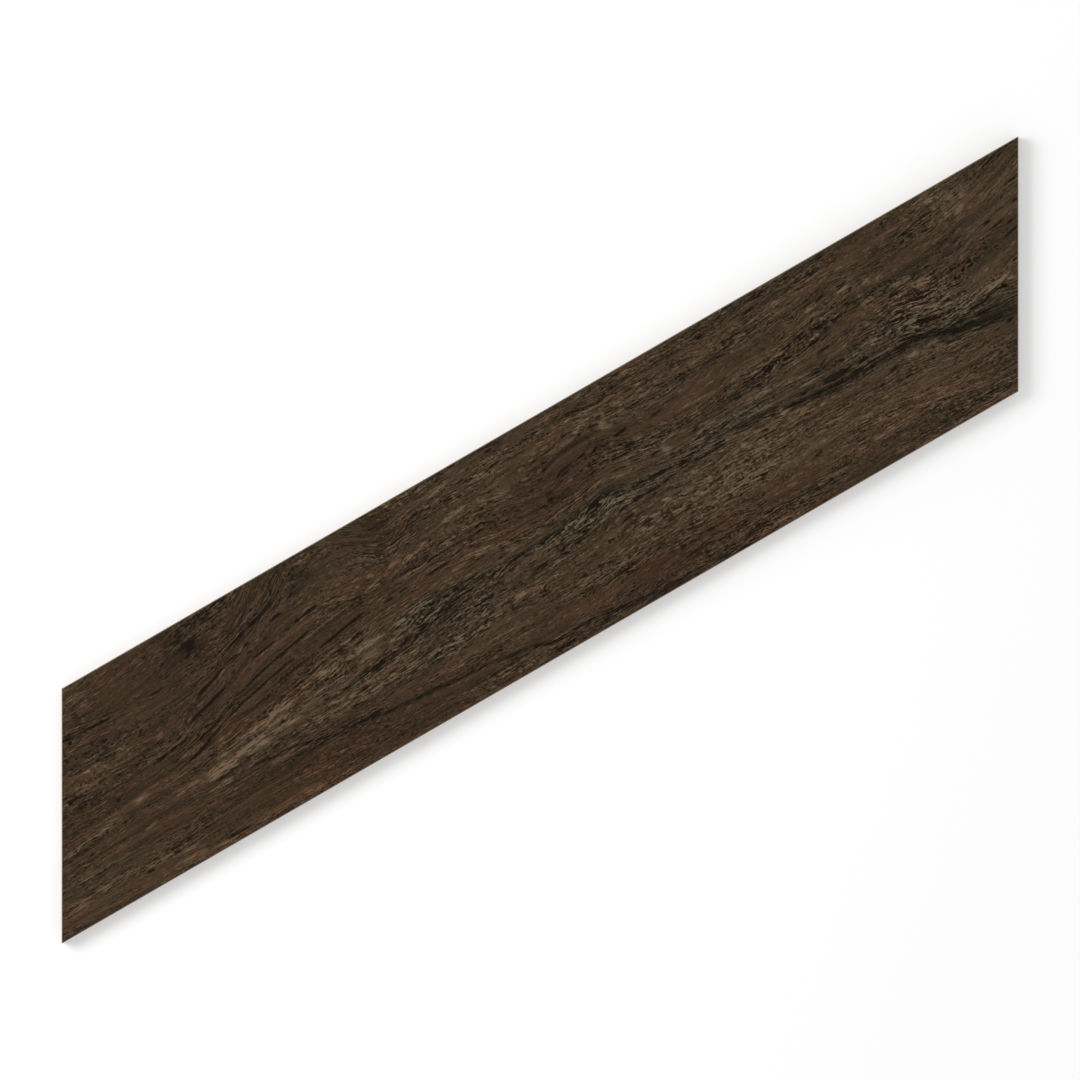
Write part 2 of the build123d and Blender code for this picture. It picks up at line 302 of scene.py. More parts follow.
        (-109, -7.9, -92, -6.2, 1.7, 0.6), (-113, -3.4, -88, -1.7, 1.3, 1.1),
        (-198.5, -25.8, -187.5, -25.6, 1, 1), (-212, -18.9, -202, -18.2, 0.8, 0.8),
        (-218, -20, -209, -18.9, 0.7, 0.6), (-144, -12.4, -112, -9.4, 1.6, 0.45),
        (-103, -1.2, -86, -2, 1.6, 0.7), (-86, -1.8, -62, 1.7, 1.2, 1), (-68, 1, -62, 1.6, 1.8, 0.9),
        (-89, -6.6, -81, -5.6, 1, 0.7), (-92, -15.6, -85.5, -14.8, 1, 0.7),
        (-130, 14.3, -94, 19, 0.6, 0.8), (-152, 18.6, -134, 21.2, 0.5, 0.55),
        (-122, 25.9, -115, 27.5, 0.6, 0.8), (-161, 16.4, -150, 18.6, 0.8, 0.4),
        (-89, 19.6, -75, 23, 0.8, 0.7), (-66.5, 23.6, -47.5, 27.4, 0.8, 1),
        (-71, 25.4, -64.5, 26, 0.9, 0.7), (-70, 17, -51, 18.7, 1, 0.65),
        (-50, 20.6, -21, 23, 0.6, 0.65), (-39.5, 45.2, -24, 46.9, 1, 0.85),
        (-39, 31, -17, 32.3, 1.2, 0.85), (-18, 32.4, -12, 30, 1.2, 0.75),
        (-13, 29.4, 0, 28.3, 1.2, 0.8), (-8, 25.3, 0, 26.2, 0.8, 0.65), (-32.5, 9.1, -24, 9.6, 1.1, 1),
        (-25, 9.6, -11.5, 6.2, 0.9, 0.9), (-46, 8, -34, 8.4, 1, 0.7), (-44.5, 1.6, -29, 3.2, 0.6, 0.6),
        (-6.5, 3.4, 5.5, 4, 0.6, 0.65), (-15, 2.4, -11, 3.2, 1, 0.7), (-56, 13.6, -42, 14.4, 0.5, 0.5),
        (-88.5, -22.1, -80.5, -22.4, 1.5, 1), (-79.5, -22.2, -66, -21.3, 0.9, 1),
        (-64.5, -22.8, -56, -22.4, 1.6, 0.65), (-51, -22.6, -44, -22.2, 1, 0.65),
        (-45.5, -20.4, -39.5, -16.4, 0.8, 0.8), (-44, -23.6, -38, -21.6, 0.7, 0.75),
        (-27.5, -18.4, -19, -18.2, 0.9, 0.8), (-68, -26.8, -60, -27.6, 0.7, 0.5),
        (-52, -26.3, -43, -25.8, 0.6, 0.5), (-110, -18, -104, -17.6, 1.2, 0.65),
        (-98, -22.4, -92, -21.8, 1.6, 0.65), (-119, -20.4, -115, -18.8, 1.3, 0.85),
        (-126, -20, -121, -19, 1.2, 0.55), (-131.5, -22.6, -128, -21.6, 1, 0.55),
        (-142, -20, -138, -20, 1, 0.45), (-129, -24.8, -126, -24, 0.8, 0.65),
        (-177, -22.6, -172, -22, 1, 0.65), (-168, -21.6, -165, -21, 1, 0.5),
        (-98, -25.6, -92, -26, 1, 0.5), (-281, -19.6, -241, -14.2, 1.1, 0.65),
        (-238, -26.8, -229, -25, 0.7, 0.85), (-285, -32.2, -246, -32.3, 0.8, 0.65),
        (-290, -42.4, -278, -42.4, 1.8, 0.65), (-270, -41.2, -265.5, -41.7, 1.1, 0.85),
        (-260.5, -42, -256, -42.2, 1, 0.7), (-248.5, -42, -229, -42.9, 1.2, 0.7),
        (-231, -44.8, -217, -45.5, 0.8, 0.8), (-234, -48.9, -215, -49.4, 0.9, 0.7),
        (-236.5, -12.4, -227, -12, 2, 0.65), (-233.5, 14, -224, 13.6, 0.8, 0.7),
        (-262, 13, -240, 12.4, 0.6, 0.3), (-240, 48, -234, 47, 2.4, 0.4), (-236, 43, -232, 42, 2, 0.4),
        (4, -2.9, 27, -1.2, 1, 0.65), (20, -2.5, 24.5, -2, 0.9, 0.7), (33, 1.2, 39, 1.6, 0.8, 0.8),
        (37, -0.5, 46.5, -0.3, 1, 0.8), (34, -2.9, 47, -2, 1, 0.45), (48, -3.3, 52, -3, 1.1, 0.7),
        (0, -4.9, 3, -4.7, 1, 0.7), (10.5, -7.2, 15, -6.3, 0.7, 0.8), (7, -10, 15, -9.2, 0.6, 0.7),
        (34, -28.8, 41, -28.4, 1.6, 0.65), (-6, -29.4, 34, -29, 2, 0.4),
        (45.5, -21, 50.5, -21.4, 1.3, 0.8), (62, -13.4, 67, -14, 1.3, 0.8),
        (80, -8.8, 84, -8.8, 1.1, 0.9), (97.5, -6.4, 100.5, -6.8, 1.1, 1),
        (66.5, -21.4, 70, -21.2, 1.6, 0.7), (108.5, -9.4, 111, -9.2, 1.5, 0.75),
        (93.5, -26.6, 97, -26.4, 1.1, 0.65), (21, 33.9, 39, 35, 1.5, 0.5),
        (39.5, 37.3, 44, 37.9, 1.4, 1), (51, 33, 60, 32.4, 2.6, 0.8), (66, 37.7, 69.5, 37.9, 1, 0.7),
        (60, 50.6, 62.5, 50.8, 1.4, 0.9), (67, 51.3, 70, 51.5, 1, 0.8), (75, 51, 78.5, 51, 0.9, 0.8),
        (35, 43.9, 57, 43, 0.7, 0.6), (50.5, 23.9, 54.5, 22.8, 0.9, 0.9), (65, 18.5, 69, 19, 1.3, 0.95),
        (73, 8, 78.5, 7.1, 1.9, 1), (91, 5.6, 97.5, 7.5, 0.8, 1), (97.5, 7.6, 104, 8, 1.2, 0.9),
        (88, 2.4, 98, 3.2, 0.9, 0.7), (23, 8, 44, 10, 0.7, 0.6), (44, 8.6, 58, 6.8, 0.8, 0.55),
        (90.5, 20.9, 110, 20.5, 0.6, 0.7), (171.5, 0.8, 185, 2, 1.1, 0.9),
        (188, 2.4, 193, 2.4, 1.2, 0.9), (191, 0.4, 194, 0.4, 1, 0.7), (201, 1.2, 215, 1.1, 1.1, 1),
        (216, 1.2, 225, 1.6, 0.9, 1), (204.5, -2.5, 213, -1.1, 1.1, 0.9),
        (199.5, -13.1, 207, -12.1, 1.2, 0.95), (209.5, -12.2, 218, -12.2, 1.2, 0.8),
        (216, -16.3, 219, -16.1, 1.4, 0.85), (129.5, -7.1, 138, -6.1, 1.1, 0.9),
        (119, 7.5, 136, 8, 1.1, 0.7), (135, 8, 152, 5.2, 1.1, 0.7), (146.5, 0.8, 157.5, 1.2, 1.1, 0.8),
        (159.5, 17.4, 170.5, 19.4, 0.7, 0.9), (150, 16, 160, 17.2, 0.6, 0.55),
        (160, 23.2, 181, 25.7, 0.8, 0.7), (194.5, 25.6, 196.5, 25.2, 1, 0.8),
        (167.5, 32, 175.5, 32.9, 1, 0.8), (185, 31.3, 193.5, 32.9, 1.2, 1),
        (199, 31.1, 203.5, 29.7, 1.4, 0.9), (205, 28.2, 209.5, 28.5, 1.1, 0.7),
        (124.5, 34.8, 141, 38.1, 0.7, 0.9), (209.5, 21.7, 221.5, 21.2, 1.4, 0.7),
        (192, 22, 204.5, 21.7, 1.4, 0.55), (211, 5.5, 216, 7.4, 0.8, 1),
        (204.5, 10, 210.5, 10.5, 0.7, 0.7), (217, 10.7, 219.5, 10.8, 0.8, 0.7),
        (227, -0.6, 232.5, 0.4, 1.1, 0.9), (235.5, -1.3, 245.5, -1.7, 1.3, 0.6),
        (247.5, -3.8, 265.5, -2, 1.1, 1), (224, -5.6, 245, -5, 1, 0.45),
        (243.5, 50.2, 250, 48.7, 1.5, 0.9), (256, 44.9, 259.5, 43.9, 1.1, 1),
        (255.5, 36.5, 261, 38.7, 1.3, 0.85), (250.5, 39.4, 253, 37.8, 1.3, 0.8),
        (261.5, 43.6, 264.5, 44.8, 1.8, 0.7), (226.5, 14.7, 229.5, 15.2, 0.9, 0.95),
        (219, 21, 221, 21, 1.1, 0.75),
    ],
    "darkPatches": [
        (-68.5, 37, 1.5, 2, 1.6), (-71, 34, 3, 1.2, 1.2), (-63, 42, 2, 5, 0.9), (-70, 43, 10, 8, 0.5),
        (-126, 43, 2.2, 5, 0.9), (-124, 48, 4, 3, 0.8), (-113, 45, 6, 3, 0.4),
        (-183, 16.5, 1.2, 1.8, 1.0), (-240, 22, 14, 5, 0.25), (16, 16, 3, 3, 0.6),
        (-165, 44, 20, 8, 0.15), (248, -15, 20, 5, 0.45), (168, -4.5, 26, 3, 0.4),
        (214, 42, 26, 8, 0.2), (240, 23, 22, 6, 0.3), (-130, -46, 60, 6, 0.25), (24, 24, 26, 7, 0.35),
        (34, -11, 20, 4, 0.35), (60, -38, 60, 5, 0.2), (180, -47, 70, 5, 0.25), (-210, 12, 24, 8, 0.5),
        (130, 46, 24, 6, 0.4), (-150, 22, 30, 6, 0.35), (232, 16, 14, 6, 0.45), (-175, 46, 64, 10, 0.7),
        (-240, -6, 40, 10, 0.3), (-186, 15, 12, 7, 0.9), (-30, -12, 12, 5, 0.5),
        (-148, 30, 28, 7, 0.55), (-180, 16, 44, 7, 0.35), (-160, -28, 54, 5, 0.3),
        (-150, -41, 30, 6, 0.35), (50, -12, 30, 5, 0.55), (-236, 30, 22, 6, 0.35), (-50, 2, 20, 4, 0.4),
        (-16, -12, 22, 6, 0.4), (-70, 46, 12, 6, 0.4), (-60, -41, 20, 5, 0.35), (-18, -41, 18, 5, 0.35),
        (-240, -26, 20, 5, 0.35), (-248, 11, 18, 5, 0.4),
    ],
    "palePatches": [
        (-140, -12, 44, 7, 0.35), (-90, -3, 34, 5, 0.2), (98, -20, 44, 12, 1.15),
        (-84, -22, 50, 6, 0.5), (210, 3, 26, 7, 0.35), (-92, 38, 14, 9, 0.2), (190, -28, 64, 9, 0.65),
        (-14, 36, 28, 10, 0.35), (-270, -42, 30, 5, 0.2), (246, 46, 30, 9, 0.7), (70, 5, 40, 6, 0.4),
        (104, -27, 34, 6, 0.7), (112, 4, 20, 5, 0.6), (254, 1, 26, 8, 0.9), (40, 46, 54, 9, 0.35),
        (218, 2, 34, 5, 0.45), (200, -12, 40, 5, 0.45), (70, 16, 14, 5, 0.55), (-10, 16, 16, 5, 0.4),
        (-110, 2, 14, 5, 0.45), (110, 2, 14, 4, 0.3), (-130, -12, 14, 5, 0.35), (-182, -12, 14, 5, 0.3),
        (110, -26, 20, 6, 0.45), (262, 44, 18, 8, 0.4), (212, 3, 22, 5, 0.55), (192, 29, 14, 5, 0.4),
        (-52, -12, 10, 5, 0.35), (130, 2, 10, 4, 0.35), (250, 44, 12, 6, 0.3),
    ],
    "cobble": [
        (-80, -20, 56, 7, 1.0), (-140, -22, 30, 4, 1.0), (100, -20, 46, 13, 1.0), (212, 6, 24, 11, 0.8),
        (222, -16, 30, 5, 0.7), (-256, -5, 30, 10, 0.4), (-120, -42, 40, 8, 0.6), (60, -38, 34, 8, 0.3),
        (-240, 16, 26, 7, 0.5), (50, 40, 30, 8, 0.3), (240, 42, 30, 9, 0.4), (150, -10, 40, 6, 0.5),
        (-170, -14, 30, 6, 0.5), (10, -4, 30, 5, 0.6),
    ],
    "warm": [
        (-150, -44, 84, 11, 0.9), (-108, 12, 84, 13, 0.6), (60, -38, 84, 8, 0.9),
        (192, -33, 62, 13, 0.3), (12, 16, 36, 9, 0.7), (-230, 42, 34, 11, 0.35), (-160, -4, 50, 8, 0.6),
        (-160, 32, 60, 9, 0.4), (-256, -36, 36, 6, -0.5), (10, -3, 64, 5, -0.35),
        (240, -14, 34, 7, -1.0), (-60, -46, 70, 4, -0.4), (106, -22, 44, 11, 0.15),
        (-176, 44, 10, 9, -0.6), (-90, -24, 60, 5, -0.2), (-30, -12, 16, 6, -0.6),
        (166, 20, 26, 7, 0.3), (44, 1, 14, 4, -0.15), (150, 0, 120, 6, -0.6), (-250, -20, 50, 30, 0.4),
        (262, 30, 36, 24, -0.25), (-60, 1, 40, 6, -0.4), (180, -44, 60, 7, -0.35),
        (-190, -13, 22, 6, 0.4), (70, -12, 12, 5, -0.5), (-190, 16, 10, 6, -0.6),
        (-248, 11, 20, 5, -0.5),
    ],
    "stirred": [
        (-222, 34, 24, 12, -0.5), (-206, 15, 18, 8, -0.6), (-236, -8, 22, 14, -0.45),
        (-228, -27, 22, 8, -0.7), (-188, -41, 24, 8, -0.7), (-148, -42, 22, 8, -0.4),
        (-82, -41, 24, 8, -0.6), (-98, 45, 22, 8, -0.6), (-90, 31, 12, 8, -0.4),
        (-136, 36, 26, 9, -0.25), (4, 31, 14, 8, -0.5), (10, 44, 10, 8, -0.3), (48, 15, 16, 7, -0.2),
        (44, -12, 20, 6, -0.5), (138, -26, 26, 7, -0.55), (206, 46, 16, 8, -0.8),
        (180, 16, 24, 7, -0.3), (265, 30, 18, 9, -0.55), (250, -12, 10, 7, -0.7),
        (60, -41, 34, 6, -0.25), (-20, 1, 64, 6, 0.55), (86, 2, 20, 6, 1.1), (134, 2, 30, 6, 0.45),
        (206, 2, 20, 7, 0.9), (-88, 8, 18, 10, 0.35), (-46, -13, 30, 6, 0.65), (-50, 31, 14, 8, 0.6),
        (-10, -26, 12, 7, 0.5), (110, 45, 10, 8, 0.7), (150, -41, 44, 7, 0.35), (-204, -8, 22, 8, 0.35),
    ],
    "knots": [
        (-174.4, 39.6, 1.8, 1.3, 1.25), (-176.2, 42.6, 1.6, 1.1, 1.2), (-172.8, 42.2, 1.2, 1.4, 0.9),
        (-175.4, 47.6, 1.3, 0.9, 0.8), (-175, 50.2, 1.1, 0.8, 0.6), (-175, 42, 6, 4.5, 0.2),
    ],
    "ringedGrain": [
        (-140, 14, 60, 12, 1.0), (-30, 16, 50, 12, 0.4), (20, 28, 46, 10, 0.4), (-180, -4, 30, 8, 0.6),
    ],
}


# Places on the outline, pulled in by inset on every side; s runs along and t across, from 0 to 1
def outlinePlaces(s, t, inset):
    endInset = inset / math.cos(mitre)
    y = low.y + inset + t * (faceWidth - 2 * inset)
    x = low.x + lean * (y - low.y) / faceWidth + endInset + s * (longSide - 2 * endInset)
    return x, y


# A smooth curve through points (x, y): its y at the given x
def curveThrough(points, x):
    px, py = np.array(points, float).T
    slope = np.gradient(py, px)
    k = np.clip(np.searchsorted(px, x) - 1, 0, len(px) - 2)
    step = px[k + 1] - px[k]
    u = np.clip((x - px[k]) / step, 0, 1)
    return (
        py[k] * (1 + 2 * u) * (1 - u) ** 2 + py[k + 1] * u * u * (3 - 2 * u)
        + step * slope[k] * u * (1 - u) ** 2 + step * slope[k + 1] * u * u * (u - 1)
    )


# Heights of the guides at the given x, and their levels
def guideHeights(x):
    return [(level, curveThrough(points, x)) for level, points in figure["guides"]]


# The grain level at a place: it stays the same along the grain, in mm across it
def grainLevel(x, y):
    guides = guideHeights(x)
    level = guides[0][0] + y - guides[0][1]
    for (lowLevel, below), (highLevel, above) in zip(guides, guides[1:]):
        share = (y - below) / (above - below)
        level = np.where(share > 0, lowLevel + share * (highLevel - lowLevel), level)
    return level


# The y at which the grain line that passes through a start place is found, at the given x
def followGrain(startX, startY, x):
    level = float(grainLevel(np.array([startX]), np.array([startY]))[0])
    guides = guideHeights(x)
    y = guides[0][1] + level - guides[0][0]
    for (lowLevel, below), (highLevel, above) in zip(guides, guides[1:]):
        if level > lowLevel:
            y = below + (level - lowLevel) / (highLevel - lowLevel) * (above - below)
    return y


def ease(u):
    u = np.clip(u, 0, 1)
    return u * u * (3 - 2 * u)


# How strongly a stroke covers each place; its ends fade over fade mm
def strokeCover(x, y, centre, start, end, wide, strength, fade):
    off = (y - centre) / wide
    ends = np.clip((x - start) / fade, 0, 1) * np.clip((end - x) / fade, 0, 1)
    return strength * ease(ends) * np.exp(-off**2)


def veinField(x, y):
    field = np.zeros_like(x)
    for wide, strength, points in figure["veins"]:
        start, end = points[0][0], points[-1][0]
        near = (x > start) & (x < end)
        centre = curveThrough(points, x[near])
        cover = strokeCover(x[near], y[near], centre, start, end, wide, strength, strokeEnds["veinFade"])
        field[near] = np.maximum(field[near], cover)
    return field


def lineField(strokes, x, y):
    field = np.zeros_like(x)
    overrun = strokeEnds["overrun"]
    for start, startY, end, endY, wide, strength in strokes:
        near = (x > start - overrun) & (x < end + overrun)
        miss = endY - followGrain(start, startY, np.array([end]))
        centre = followGrain(start, startY, x[near]) + miss * (x[near] - start) / (end - start)
        fade = min(strokeEnds["fadeShare"] * (end - start), strokeEnds["mostFade"]) + overrun
        cover = strokeCover(x[near], y[near], centre, start - overrun, end + overrun, wide, strength, fade)
        field[near] = np.maximum(field[near], cover)
    return field


def patchField(patches, x, y):
    field = np.zeros_like(x)
    for px, py, reachX, reachY, amount in patches:
        field += amount * np.exp(-(((x - px) / reachX) ** 2) - ((y - py) / reachY) ** 2)
    return field


def grainNoise(along, across, wave):
    spots = zip(along / wave["reach"][0], across / wave["reach"][1])
    return np.array([noise.noise((a, c, wave["seed"])) for a, c in spots])


# How far the embossed face lies below its highest crest, in mm
def faceDepth(x, y):
    across = grainLevel(x, y)
    swell, grain, pore = relief["swell"], relief["grain"], relief["pore"]
    pores = ease((grainNoise(x, across, pore) - pore["from"]) / pore["rise"])
    return (
        swell["depth"] * (0.5 - 0.5 * grainNoise(x, across, swell))
        + grain["depth"] * (0.5 - 0.5 * grainNoise(x, across, grain))
        + pore["depth"] * pores
        + relief["veinDepth"] * veinField(x, y)
        + relief["knotDepth"] * patchField(figure["knots"], x, y)
    )


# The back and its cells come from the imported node; its face, bevel and ground edges are left out here
def keepBack(mesh):
    mesh.from_mesh(tileNode.data)
    bmesh.ops.remove_doubles(mesh, verts=mesh.verts, dist=0.1 * close)

    def onGroundEdge(face):
        ends = [(v.co.x - low.x) - lean * (v.co.y - low.y) / faceWidth for v in face.verts]
        rows = [v.co.y - low.y for v in face.verts]
        return any(
            all(abs(value - plane) < close for value in values)
            for values, plane in ((ends, 0), (ends, longSide), (rows, 0), (rows, faceWidth))
        )

    gone = [f for f in mesh.faces if onGroundEdge(f) or max(v.co.z for v in f.verts) > 0.5 * wallTop]
    bmesh.ops.delete(mesh, geom=gone, context="FACES")


# The rim of the back, from corner to corner, one list for each ground edge
def backRim(mesh):
    edges = [e for e in mesh.edges if len(e.link_faces) == 1]
    nextTo = {}
    for edge in edges:
        for a, b in (edge.verts, reversed(edge.verts)):
            nextTo.setdefault(a, []).append(b)
    corners = []
    for s, t in ((0, 0), (1, 0), (1, 1), (0, 1)):
        x, y = outlinePlaces(s, t, 0)
        corners.append(min(nextTo, key=lambda v: (v.co - Vector((x, y, 0))).length))
    along = [b for b in nextTo[corners[0]] if abs(b.co.y - low.y) < close][0]
    loop = [corners[0], along]
    while loop[-1] != corners[0]:
        loop.append(next(b for b in nextTo[loop[-1]] if b != loop[-2]))
    stops = [loop.index(c) for c in corners] + [len(loop) - 1]
    return [loop[stops[k]:stops[k + 1] + 1] for k in range(4)]


def buildTile():
    mesh = bmesh.new()
    bake = mesh.loops.layers.uv.new("OFBake")
    keepBack(mesh)
    rims = backRim(mesh)
    backFaces = list(mesh.faces)

    # the face: a slanted grid, its outer rows moved out to where the bevel cuts the relief
    columns = round(longSide / mm / tileMesh["alongStep"])
    rows = round(faceWidth / mm / tileMesh["acrossStep"])
    t, s = np.meshgrid(np.linspace(0, 1, rows + 1), np.linspace(0, 1, columns + 1), indexing="ij")
    x, y = outlinePlaces(s, t, bevel)
    depth = faceDepth(x.ravel() / mm, y.ravel() / mm).reshape(x.shape)
    depth = (depth - depth.min()) * mm
    edge = (s == 0) | (s == 1) | (t == 0) | (t == 1)
    x[edge], y[edge] = outlinePlaces(s[edge], t[edge], bevel - depth[edge])
    grid = [
        [mesh.verts.new((x[j, i], y[j, i], high.z - depth[j, i])) for i in range(columns + 1)]
        for j in range(rows + 1)
    ]
    print("face relief", round(depth.max() / mm, 3), "mm deep,", (rows + 1) * (columns + 1), "places")

    # the ring of grid places round the face, then the same ring down the bevel and the ground edge
    ring = [(0, i) for i in range(columns)] + [(j, columns) for j in range(rows)]
    ring += [(rows, i) for i in range(columns, 0, -1)] + [(j, 0) for j in range(rows, 0, -1)]
    outer, foot = [], []
    for j, i in ring:
        px, py = outlinePlaces(i / columns, j / rows, 0)
        outer.append(mesh.verts.new((px, py, wallTop)))
        foot.append(mesh.verts.new((px, py, tileMesh["wallFoot"] * mm)))

    def addFace(corners, spots, material, smooth=False):
        face = mesh.faces.new(corners)
        face.material_index, face.smooth = material, smooth
        for loop, spot in zip(face.loops, spots):
            loop[bake].uv = spot

    # the bake map: the face in two strips one above the other, then the back, then the ground edges
    cut = round(columns * tileMesh["faceCut"])
    margin = tileMesh["margin"]
    stripHigh = tileMesh["faceShare"] / 2

    def faceSpot(j, i, strip, out=0.0):
        start, count = (0, cut) if strip == 0 else (cut, columns - cut)
        u = (i - start) / count + out * ((i == columns) - (i == 0)) / (longSide / 2)
        v = j / rows + out * ((j == rows) - (j == 0)) / faceWidth
        return margin + u * (1 - 2 * margin), strip * stripHigh + margin + v * (stripHigh - 2 * margin)

    for j in range(rows):
        for i in range(columns):
            places = [(j, i), (j, i + 1), (j + 1, i + 1), (j + 1, i)]
            strip = 0 if i < cut else 1
            spots = [faceSpot(b, a, strip) for b, a in places]
            addFace([grid[b][a] for b, a in places], spots, 0, True)

    wallBase = tileMesh["faceShare"] + tileMesh["backShare"]
    wallHigh = (1 - wallBase) / 3  # two rows for the long edges, one for both ends
    wallGap = tileMesh["wallGap"]
    wallRows = [(0, 0, 1), (2, 0, 0.5), (1, 0, 1), (2, 0.5, 0.5)]  # each side's row, start and length
    starts = [0, columns, columns + rows, 2 * columns + rows, 2 * (columns + rows)]

    def wallSpot(side, k, z):
        row, first, wide = wallRows[side]
        share = k / (starts[side + 1] - starts[side])
        u = first + margin / 2 + share * (wide - margin)
        return u, wallBase + (row + wallGap + (1 - 2 * wallGap) * z / wallTop) * wallHigh

    out = tileMesh["bevelOnMap"] * mm
    for side in range(4):
        for n in range(starts[side], starts[side + 1]):
            m = (n + 1) % len(ring)
            (ja, ia), (jb, ib) = ring[n], ring[m]
            strip = 0 if (ia + ib) / 2 < cut else 1
            spots = [faceSpot(ja, ia, strip, out), faceSpot(jb, ib, strip, out),
                     faceSpot(jb, ib, strip), faceSpot(ja, ia, strip)]
            addFace([outer[n], outer[m], grid[jb][ib], grid[ja][ia]], spots, 1)
            k = n - starts[side]
            spots = [wallSpot(side, k, foot[n].co.z), wallSpot(side, k + 1, foot[n].co.z),
                     wallSpot(side, k + 1, wallTop), wallSpot(side, k, wallTop)]
            addFace([foot[n], foot[m], outer[m], outer[n]], spots, 1)

        # the rest of the ground edge, down to the rim of the back with its cut cells
        top = [foot[n % len(ring)] for n in range(starts[side], starts[side + 1] + 1)]
        corners = rims[side] + top[::-1]
        a, b = top[0].co, top[-1].co
        perLength = (starts[side + 1] - starts[side]) / (b - a).length_squared
        spots = [wallSpot(side, (v.co - a).dot(b - a) * perLength, v.co.z) for v in corners]
        addFace(corners, spots, 1)

    backGap = tileMesh["backGap"]
    for face in backFaces:
        face.material_index, face.smooth = 1, False
        for loop in face.loops:
            v = (loop.vert.co.y - low.y) / faceWidth
            u = (loop.vert.co.x - low.x - lean * v) / longSide
            v = tileMesh["faceShare"] + (backGap + (1 - 2 * backGap) * v) * tileMesh["backShare"]
            loop[bake].uv = (margin / 2 + u * (1 - margin), v)

    bmesh.ops.triangulate(mesh, faces=[f for f in mesh.faces if len(f.verts) > 4])
    bmesh.ops.recalc_face_normals(mesh, faces=mesh.faces)
    data = bpy.data.meshes.new("tile")
    mesh.to_mesh(data)
    mesh.free()
    return data


# What the finishes read: where the grain runs, and how strong each feature is at a place
def addFields(data):
    points = np.empty(len(data.vertices) * 3, np.float32)
    data.vertices.foreach_get("co", points)
    x, y = points.reshape(-1, 3)[:, 0] / mm, points.reshape(-1, 3)[:, 1] / mm
    grain = np.stack([x, grainLevel(x, y), np.zeros_like(x)], 1).astype(np.float32)
    data.attributes.new("grain", "FLOAT_VECTOR", "POINT").data.foreach_set("vector", grain.ravel())
    fields = {
        "vein": veinField(x, y),
        "line": lineField(figure["lines"], x, y),
        "pale": lineField(figure["pales"], x, y),
        "tone": patchField(figure["palePatches"], x, y) - patchField(figure["darkPatches"], x, y),
        "cobble": patchField(figure["cobble"], x, y),
        "warm": patchField(figure["warm"], x, y),
        "knot": patchField(figure["knots"], x, y),
        "rings": patchField(figure["ringedGrain"], x, y),
        "stir": patchField(figure["stirred"], x, y),
    }
    for name, values in fields.items():
        data.attributes.new(name, "FLOAT", "POINT").data.foreach_set("value", values.astype(np.float32))


def emptyMaterial(name):
    material = bpy.data.materials.new(name)
    material.use_nodes = True
    material.node_tree.nodes.clear()
    return material, material.node_tree


def addNode(tree, kind, inputs, **settings):
    made = tree.nodes.new("ShaderNode" + kind)
    for name, value in settings.items():
        setattr(made, name, value)
    for key, value in inputs.items():
        if isinstance(value, bpy.types.NodeSocket):
            tree.links.new(value, made.inputs[key])
        else:
            made.inputs[key].default_value = value
    return made


def calc(tree, operation, *values, clamp=False):
    return addNode(tree, "Math", dict(enumerate(values)), operation=operation, use_clamp=clamp).outputs[0]


# A start value, and each part times its share added to it
def addUp(tree, total, *parts):
    for part, share in parts:
        total = calc(tree, "MULTIPLY_ADD", part, share, total)
    return total


def mixColours(tree, share, first, second, **settings):
    inputs = {0: share, 6: first, 7: second}
    return addNode(tree, "Mix", inputs, data_type="RGBA", **settings).outputs[2]


def readField(tree, name):
    return addNode(tree, "Attribute", {}, attribute_name=name).outputs["Fac"]


# The shader at the end of a finish; height is the fine relief in mm
def endWith(tree, colour, roughness, specular, height):
    bump = addNode(tree, "Bump", {"Height": height, "Strength": 1.0, "Distance": mm}).outputs[0]
    shader = addNode(tree, "BsdfPrincipled", {
        "Base Color": colour, "Roughness": roughness, "Specular IOR Level": specular, "Normal": bump})
    addNode(tree, "OutputMaterial", {"Surface": shader.outputs[0]})


# Colours are picked as on a screen, 0 to 255
def screenColour(rgb):
    parts = [c / 255 for c in rgb]
    return [c / 12.92 if c < 0.04045 else ((c + 0.055) / 1.055) ** 2.4 for c in parts] + [1.0]


noiseGain = 8.0  # brings Blender's noise to about -2 to 2
streakShift = (3.7, 5.3, 1.0)  # how far a seed of 1 moves a noise, so that no two are alike
dashShift = (2.9, 4.1, 0.0)
dashShape = {
    "edge": 10.0,  # how sharply a dash ends
    "rimEdge": 8.0,  # how sharply the rim round it ends
    "rimReach": 2.0,  # how wide that rim is
    "presence": 12.0,  # how soon a small dash gets its full rim
}


# Noise of any kind, spread to about -2 to 2
def spreadNoise(tree, place, scale, detail, **inputs):
    found = addNode(tree, "TexNoise", {"Vector": place, "Scale": scale, "Detail": detail, **inputs})
    return calc(tree, "MULTIPLY_ADD", found.outputs["Fac"], noiseGain, -0.5 * noiseGain)


# The grain's places in units of reach, moved by shift
def stretched(tree, grain, reach, shift):
    inputs = {0: grain, 1: (1 / reach[0], 1 / reach[1], 0), 2: shift}
    return addNode(tree, "VectorMath", inputs, operation="MULTIPLY_ADD").outputs[0]


# Noise drawn out along the grain
def streaks(tree, grain, reach, seed, detail=1.0):
    spot = stretched(tree, grain, reach, [seed * c for c in streakShift])
    return spreadNoise(tree, spot, 1.0, detail, Roughness=0.55)


